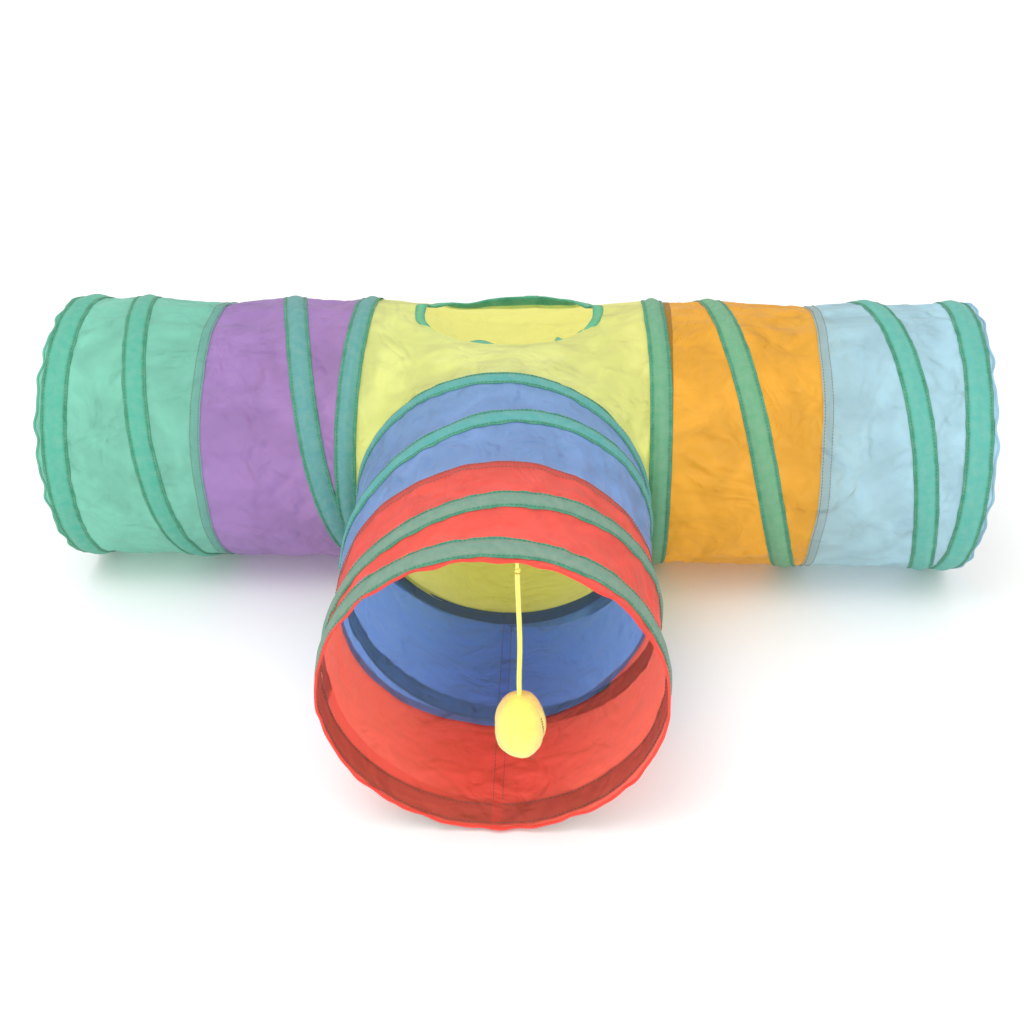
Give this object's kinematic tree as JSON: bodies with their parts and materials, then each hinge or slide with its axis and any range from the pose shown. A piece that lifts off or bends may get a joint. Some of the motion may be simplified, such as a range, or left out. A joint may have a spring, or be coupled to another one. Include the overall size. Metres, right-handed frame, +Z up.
{
  "type": "collapsible pet tunnel",
  "caption": "T-shaped collapsible fabric tunnel for a small pet, on sprung wire hoops, with a peephole in the roof and a toy ball hung in one mouth.",
  "frame": {"origin": "on the floor, at the middle of the tunnel's bounding box (the cord and the toy not counted)", "axes": "+X along the cross tube towards the light blue arm's mouth, -Y out of the front arm's mouth, +Z up"},
  "size_m": [0.834, 0.5385, 0.25],
  "materials": {
    "yellow_taffeta": "thin shiny polyester taffeta",
    "purple_taffeta": "thin shiny polyester taffeta",
    "mint_taffeta": "thin shiny polyester taffeta",
    "orange_taffeta": "thin shiny polyester taffeta",
    "sky_taffeta": "thin shiny polyester taffeta",
    "blue_taffeta": "thin shiny polyester taffeta",
    "red_taffeta": "thin shiny polyester taffeta",
    "green_tape": "woven polyester tape, thin enough to tint with what is under it",
    "spring_steel": "drawn spring wire",
    "crimp_sleeve": "crimped sleeve",
    "neon_cord": "braided elastic cord",
    "neon_plush": "soft brushed knit",
    "polyester_filling": "loose fibre"
  },
  "bodies": {
    "centre": {"centre_panel": "yellow_taffeta", "peephole_binding": "green_tape", "left_inner_panel": "purple_taffeta", "left_outer_panel": "mint_taffeta", "left_junction_tape": "green_tape", "left_junction_hoop": "spring_steel", "left_junction_ferrule": "crimp_sleeve", "left_helix_tape": "green_tape", "left_helix_wire": "spring_steel", "right_inner_panel": "orange_taffeta", "right_outer_panel": "sky_taffeta", "right_junction_tape": "green_tape", "right_junction_hoop": "spring_steel", "right_junction_ferrule": "crimp_sleeve", "right_helix_tape": "green_tape", "right_helix_wire": "spring_steel", "front_inner_panel": "blue_taffeta", "front_outer_panel": "red_taffeta", "front_junction_tape": "green_tape", "front_junction_hoop": "spring_steel", "front_junction_ferrule": "crimp_sleeve", "front_helix_tape": "green_tape", "front_helix_wire": "spring_steel"},
    "left_end": {"left_end_tape": "green_tape", "left_end_hoop": "spring_steel", "left_end_ferrule": "crimp_sleeve"},
    "right_end": {"right_end_tape": "green_tape", "right_end_hoop": "spring_steel", "right_end_ferrule": "crimp_sleeve"},
    "front_end": {"front_end_tape": "green_tape", "front_end_hoop": "spring_steel", "front_end_ferrule": "crimp_sleeve", "cord_tack": "red_taffeta"},
    "toy_hitch": {"toy_hitch": "neon_cord"},
    "toy": {"toy_cord": "neon_cord", "toy_cover": "neon_plush", "toy_stuffing": "polyester_filling"}
  },
  "joints": [
    {"name": "left_collapse", "type": "slide", "parent": "centre", "child": "left_end", "axis": [1, 0, 0], "range_m": [0, 0.2305], "stiffness_N_per_m": 30, "springref_m": -0.05, "deforming": ["left_inner_panel", "left_outer_panel", "left_helix_tape", "left_helix_wire"]},
    {"name": "right_collapse", "type": "slide", "parent": "centre", "child": "right_end", "axis": [-1, 0, 0], "range_m": [0, 0.2305], "stiffness_N_per_m": 30, "springref_m": -0.05, "deforming": ["right_inner_panel", "right_outer_panel", "right_helix_tape", "right_helix_wire"]},
    {"name": "front_collapse", "type": "slide", "parent": "centre", "child": "front_end", "axis": [0, 1, 0], "range_m": [0, 0.2105], "stiffness_N_per_m": 30, "springref_m": -0.05, "deforming": ["front_inner_panel", "front_outer_panel", "front_helix_tape", "front_helix_wire"]},
    {"name": "toy_swing_sideways", "type": "hinge", "parent": "front_end", "child": "toy_hitch", "pos_m": [0.02614, -0.259, 0.23914], "axis": [0, 1, 0], "range_deg": [-28, 28]},
    {"name": "toy_swing_in_out", "type": "hinge", "parent": "toy_hitch", "child": "toy", "pos_m": [0.02614, -0.259, 0.23914], "axis": [1, 0, 0], "range_deg": [-40, 40]}
  ]
}
